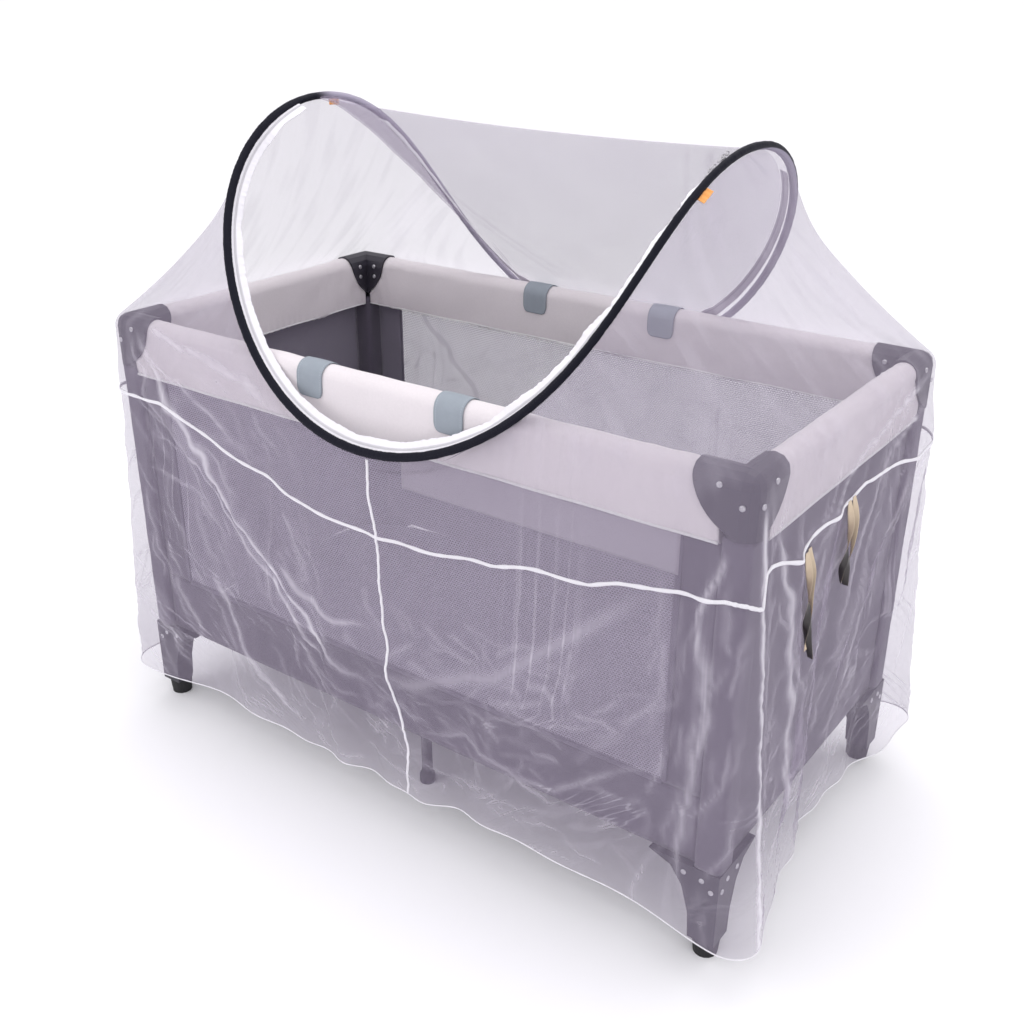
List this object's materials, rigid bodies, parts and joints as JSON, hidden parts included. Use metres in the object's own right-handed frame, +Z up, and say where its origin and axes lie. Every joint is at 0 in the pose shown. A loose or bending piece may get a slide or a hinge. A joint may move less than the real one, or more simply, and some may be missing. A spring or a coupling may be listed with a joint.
{
  "type": "camping bed mosquito net on a folding travel cot",
  "caption": "Sheer mosquito net hung from a saddle-shaped spring hoop over a folding camping cot, skirt falling over the corner caps, hatch unzipped and thrown back.",
  "frame": {"origin": "on the floor under the middle of the whole's box", "axes": "+X along the cot, towards the end with the ribbon ties; +Y from the open hatch's side to the back; +Z up"},
  "size_m": [1.3804, 0.7706, 1.1515],
  "materials": {
    "net": "sheer knitted mesh, see-through",
    "hoop_binding": "woven binding over a spring steel band",
    "zip_tape": "woven tape",
    "zip_metal": "satin",
    "ribbon_light": "satin",
    "ribbon_dark": "satin",
    "rail_fabric": "padded plain weave",
    "strap_fabric": "plain weave",
    "grey_plastic": "matte",
    "wall_fabric": "plain weave",
    "window_mesh": "open mesh",
    "door_fabric": "plain weave",
    "black_rubber": "matte",
    "steel_tube": "satin paint",
    "tab": "plain woven tab"
  },
  "bodies": {
    "root": {"net_skirt": "net", "net_canopy": "net", "hoop": "hoop_binding", "zip_tape_hoop": "zip_tape", "zip_tape_panel": "zip_tape", "zip_slider_lower": "zip_metal", "zip_slider_upper": "zip_metal", "tie_ribbon_front_upper": "ribbon_light", "tie_ribbon_front_lower": "ribbon_dark", "tie_ribbon_rear_upper": "ribbon_light", "tie_ribbon_rear_lower": "ribbon_dark", "rail_front": "rail_fabric", "rail_back": "rail_fabric", "rail_left": "rail_fabric", "rail_right": "rail_fabric", "rail_strap_front_left": "strap_fabric", "rail_strap_front_right": "strap_fabric", "rail_strap_back_left": "strap_fabric", "rail_strap_back_right": "strap_fabric", "cap_front_left": "grey_plastic", "cap_front_right": "grey_plastic", "cap_back_left": "grey_plastic", "cap_back_right": "grey_plastic", "post_front_left": "wall_fabric", "post_front_right": "wall_fabric", "post_back_left": "wall_fabric", "post_back_right": "wall_fabric", "foot_bracket_front_left": "grey_plastic", "foot_bracket_front_right": "grey_plastic", "foot_bracket_back_left": "grey_plastic", "foot_bracket_back_right": "grey_plastic", "foot_pad_front_left": "black_rubber", "foot_pad_front_right": "black_rubber", "foot_pad_back_left": "black_rubber", "foot_pad_back_right": "black_rubber", "corner_panel_front_left": "wall_fabric", "corner_panel_front_right": "wall_fabric", "corner_panel_back_left": "wall_fabric", "corner_panel_back_right": "wall_fabric", "mesh_window_front": "window_mesh", "mesh_window_back": "window_mesh", "lower_band_front": "wall_fabric", "lower_band_back": "wall_fabric", "door_strip": "door_fabric", "end_wall_left": "wall_fabric", "end_wall_right": "wall_fabric", "base_frame": "steel_tube", "base_cross_tube": "steel_tube", "centre_leg_front": "grey_plastic", "centre_leg_back": "grey_plastic", "base_board": "wall_fabric", "edge_tab_right": "tab", "edge_tab_left": "tab"}
  },
  "joints": []
}
